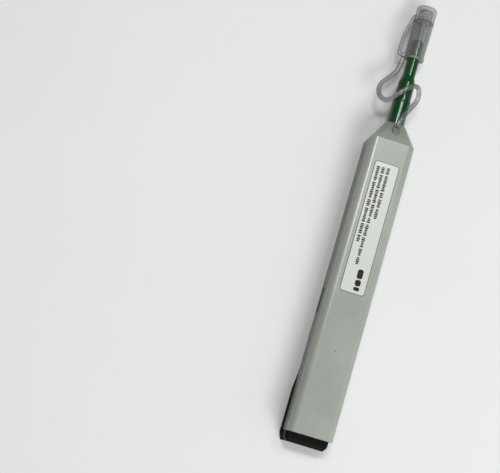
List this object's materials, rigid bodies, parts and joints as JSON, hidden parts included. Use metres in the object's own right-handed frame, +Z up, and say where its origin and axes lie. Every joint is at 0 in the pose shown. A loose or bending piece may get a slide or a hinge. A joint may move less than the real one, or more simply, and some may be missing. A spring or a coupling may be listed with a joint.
{
  "type": "fibre connector cleaning pen",
  "caption": "Push-type cleaning pen for fibre connectors, with a tethered guide cap: pressing it turns its tip and winds a fresh length of cleaning thread.",
  "frame": {"origin": "middle of the case's length, on the flat face it lies on", "axes": "+Y along the pen towards its tip, +Z up out of the label side, +X across"},
  "size_m": [0.0225, 0.1932, 0.0174],
  "materials": {
    "shell_plastic": "satin",
    "black_plastic": "matte",
    "green_plastic": "gloss",
    "clear_plastic": "gloss",
    "label_film": "gloss",
    "frame_plastic": "satin",
    "reel_plastic": "satin",
    "tip_plastic": "gloss",
    "thread": "matte",
    "pin_steel": "ground",
    "spring_steel": "drawn"
  },
  "bodies": {
    "case": {"case_shell": "shell_plastic", "bottom_plate": "shell_plastic", "rear_cover": "black_plastic", "cam_pin": "pin_steel", "label": "label_film", "strap_plug": "clear_plastic", "strap": "clear_plastic"},
    "carriage": {"carriage_frame": "frame_plastic", "takeup_axle": "pin_steel", "supply_axle": "pin_steel", "rear_guide_pin": "pin_steel", "front_guide_pin": "pin_steel", "upper_mouth_pin": "pin_steel", "lower_mouth_pin": "pin_steel", "ratchet_pawl": "spring_steel", "cleaning_thread": "thread", "nozzle_sleeve": "green_plastic", "nozzle": "green_plastic", "tip_tube": "tip_plastic", "return_spring": "spring_steel"},
    "takeup": {"takeup_reel": "reel_plastic", "takeup_thread": "thread", "drive_pinion": "reel_plastic"},
    "supply": {"supply_reel": "reel_plastic", "supply_thread": "thread"},
    "spindle": {"spindle": "reel_plastic"},
    "tip": {"tip_head": "tip_plastic", "tip_spring": "spring_steel"},
    "cap": {"guide_cap": "clear_plastic", "lid_band": "clear_plastic"},
    "lid": {"dust_lid": "clear_plastic"}
  },
  "joints": [
    {"name": "push_stroke", "type": "slide", "parent": "case", "child": "carriage", "axis": [0, -1, 0], "range_m": [0, 0.011], "stiffness_N_per_m": 400, "springref_m": -0.005, "deforming": ["return_spring", "strap"]},
    {"name": "takeup_spin", "type": "hinge", "parent": "carriage", "child": "takeup", "pos_m": [0, -0.03, 0.0085], "axis": [1, 0, 0], "range_deg": [0, 131.31], "deforming": ["ratchet_pawl", "cleaning_thread"]},
    {"name": "supply_spin", "type": "hinge", "parent": "carriage", "child": "supply", "pos_m": [0, -0.014, 0.0085], "axis": [1, 0, 0], "range_deg": [0, 97.06], "deforming": ["cleaning_thread"]},
    {"name": "spindle_turn", "type": "hinge", "parent": "carriage", "child": "spindle", "pos_m": [0, 0.06, 0.0085], "axis": [0, -1, 0], "range_deg": [0, 180.01], "deforming": ["cleaning_thread"]},
    {"name": "tip_press", "type": "slide", "parent": "spindle", "child": "tip", "axis": [0, -1, 0], "range_m": [0, 0.001], "stiffness_N_per_m": 500, "springref_m": -0.002, "deforming": ["tip_spring", "cleaning_thread"]},
    {"name": "cap_pull", "type": "slide", "parent": "carriage", "child": "cap", "axis": [0, 1, 0], "range_m": [0, 0.03], "deforming": ["strap"]},
    {"name": "lid_pull", "type": "slide", "parent": "cap", "child": "lid", "axis": [0, 1, 0], "range_m": [0, 0.008], "deforming": ["lid_band"]}
  ],
  "couplings": [
    {"joint": "takeup_spin", "follows": "push_stroke", "rad_per_m": 208.33},
    {"joint": "supply_spin", "follows": "push_stroke", "rad_per_m": 153.99},
    {"joint": "spindle_turn", "follows": "push_stroke", "rad_per_m": 285.6}
  ]
}
